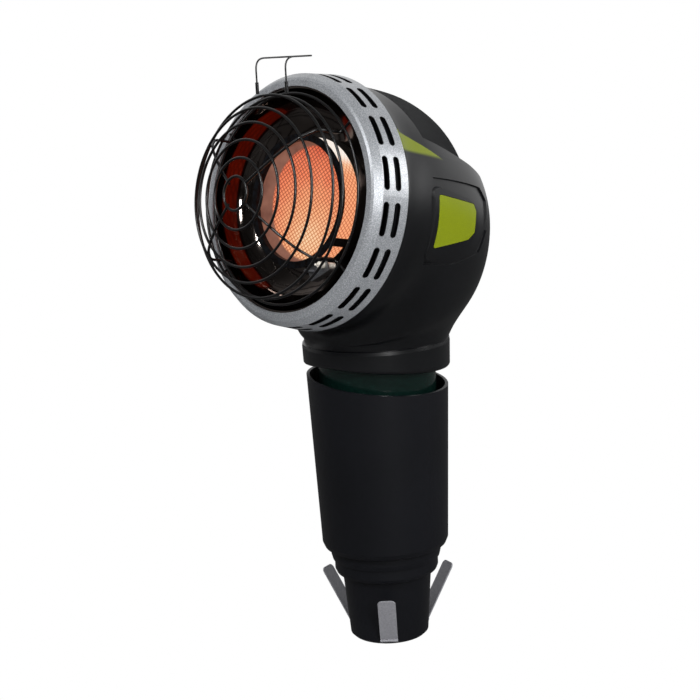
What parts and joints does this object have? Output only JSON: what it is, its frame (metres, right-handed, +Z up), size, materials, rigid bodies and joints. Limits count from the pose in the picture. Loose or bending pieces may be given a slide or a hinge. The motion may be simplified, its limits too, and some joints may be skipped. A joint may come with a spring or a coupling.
{
  "type": "portable propane heater",
  "caption": "Round radiant gas heater head with a wire guard and carry grip, screwed on a gas cylinder that stands in a sleeve with a spring-clip cup-holder plug.",
  "frame": {"origin": "centre of the underside of the cup-holder plug, which the heater stands on", "axes": "+Z up along the gas cylinder; the heater's head faces -Y, tilted up 11 degrees; +X is on the right of someone standing behind the heater"},
  "size_m": [0.2058, 0.255, 0.499],
  "materials": {
    "black_moulding": "satin moulded, slightly bluish black",
    "black_plug": "satin moulded",
    "lime_moulding": "glossy lime green",
    "silver_paint": "fine metallic silver paint",
    "black_wire": "black baked enamel",
    "polished_steel": "polished",
    "dull_steel": "plain sheet steel",
    "spring_steel": "dull grey spring steel",
    "green_enamel": "dark green enamel",
    "brass": "turned",
    "rubber": "matte",
    "ceramic": "glowing perforated tile",
    "ceramic_white": "glazed insulator",
    "hot_screen": "woven wire screen, glowing"
  },
  "bodies": {
    "adapter": {"cup_adapter": "black_plug", "cylinder_sleeve": "black_plug"},
    "gas_cylinder": {"cylinder_shell": "green_enamel", "cylinder_neck": "dull_steel", "cylinder_foot_ring": "green_enamel", "cylinder_valve_core": "brass"},
    "heater": {"housing_left": "black_moulding", "housing_right": "black_moulding", "badge_left": "lime_moulding", "badge_right": "lime_moulding", "grip_insert": "lime_moulding", "bezel_ring": "silver_paint", "wire_guard": "black_wire", "hanging_loop": "black_wire", "pilot_bracket": "dull_steel", "flame_probe": "dull_steel", "spark_electrode": "ceramic_white", "reflector": "polished_steel", "burner_can": "dull_steel", "burner_tile": "ceramic", "burner_screen": "hot_screen", "burner_rim": "polished_steel", "heat_shield": "dull_steel", "mount_bracket": "dull_steel", "regulator": "dull_steel", "inlet_seal": "rubber", "control_valve": "brass", "gas_orifice": "brass", "mixer_tube": "dull_steel", "igniter_body": "black_plug"},
    "valve_stem": {"valve_stem": "dull_steel"},
    "control_knob": {"control_knob": "black_plug"},
    "igniter_button": {"igniter_button": "black_plug"},
    "clip_1": {"spring_clip_1": "spring_steel"},
    "clip_2": {"spring_clip_2": "spring_steel"},
    "clip_3": {"spring_clip_3": "spring_steel"}
  },
  "joints": [
    {"name": "cylinder_lift", "type": "slide", "parent": "adapter", "child": "gas_cylinder", "axis": [0, 0, 1], "range_m": [0, 0.165]},
    {"name": "heater_turn", "type": "hinge", "parent": "gas_cylinder", "child": "heater", "pos_m": [0, 0, 0.28], "axis": [0, 0, 1], "continuous": true},
    {"name": "knob_push", "type": "slide", "parent": "heater", "child": "valve_stem", "axis": [0, -1, 0], "range_m": [0, 0.004], "stiffness_N_per_m": 900},
    {"name": "knob_turn", "type": "hinge", "parent": "valve_stem", "child": "control_knob", "pos_m": [0, 0.095, 0.318], "axis": [0, 1, 0], "range_deg": [0, 150]},
    {"name": "button_push", "type": "slide", "parent": "heater", "child": "igniter_button", "axis": [0, -1, 0], "range_m": [0, 0.005], "stiffness_N_per_m": 1200},
    {"name": "clip_press_1", "type": "hinge", "parent": "adapter", "child": "clip_1", "pos_m": [0.02362, -0.02515, 0.004], "axis": [-0.729, -0.6845, 0], "range_deg": [0, 20], "stiffness_Nm_per_rad": 0.4},
    {"name": "clip_press_2", "type": "hinge", "parent": "adapter", "child": "clip_2", "pos_m": [0.00997, 0.03303, 0.004], "axis": [0.9573, -0.289, 0], "range_deg": [0, 20], "stiffness_Nm_per_rad": 0.4},
    {"name": "clip_press_3", "type": "hinge", "parent": "adapter", "child": "clip_3", "pos_m": [-0.03359, -0.00788, 0.004], "axis": [-0.2284, 0.9736, 0], "range_deg": [0, 20], "stiffness_Nm_per_rad": 0.4}
  ]
}
